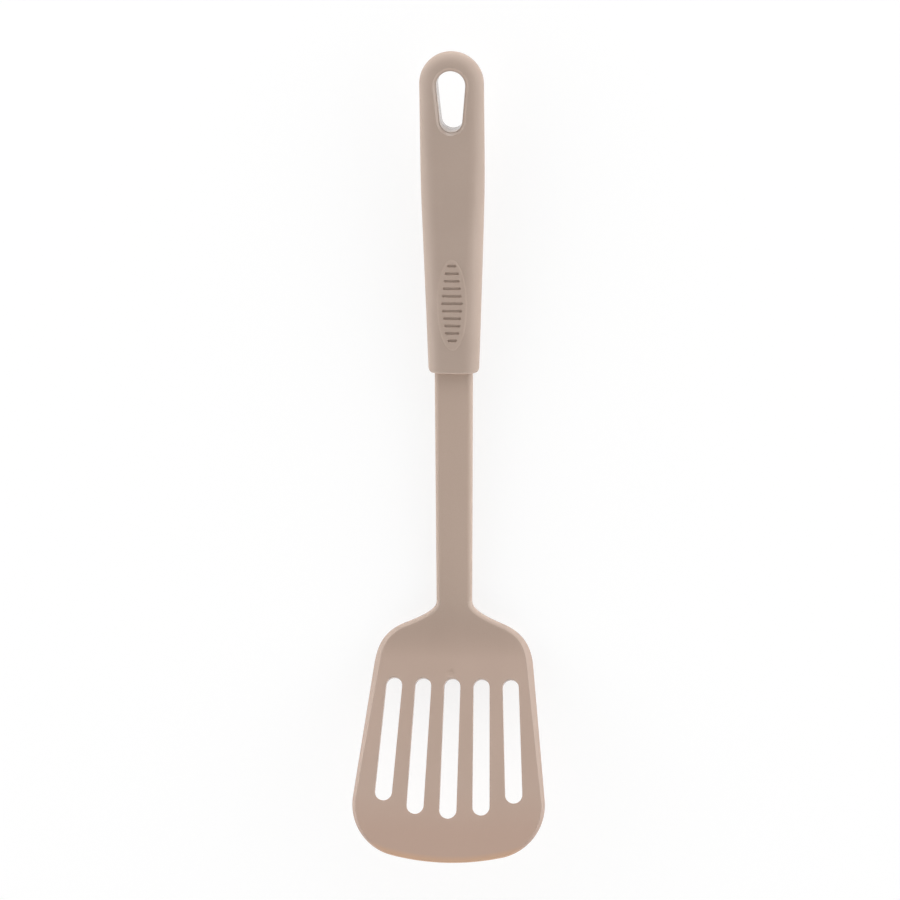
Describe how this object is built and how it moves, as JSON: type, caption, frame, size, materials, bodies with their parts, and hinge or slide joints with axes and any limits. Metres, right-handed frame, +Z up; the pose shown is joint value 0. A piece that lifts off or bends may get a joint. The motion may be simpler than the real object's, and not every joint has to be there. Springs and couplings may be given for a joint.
{
  "type": "slotted kitchen turner",
  "caption": "Long kitchen turner with a wide slotted blade bent up from a flat stem, and a rounded handle with a ribbed thumb pad and a hanging eye.",
  "frame": {"origin": "on the table, below the centre of the tool's outline, with the tool lying food side up on its heel and its handle's belly", "axes": "+X across the blade to the right, +Y along the tool to the hanging end of the handle, +Z up from the table"},
  "size_m": [0.079, 0.3268, 0.0363],
  "materials": {
    "blade_nylon": "satin moulded nylon, warm taupe",
    "handle_plastic": "fine matt moulded plastic, taupe",
    "thumb_pad_plastic": "matt soft-grip plastic, taupe"
  },
  "bodies": {
    "root": {"blade": "blade_nylon", "handle": "handle_plastic", "thumb_pad": "thumb_pad_plastic"}
  },
  "joints": []
}
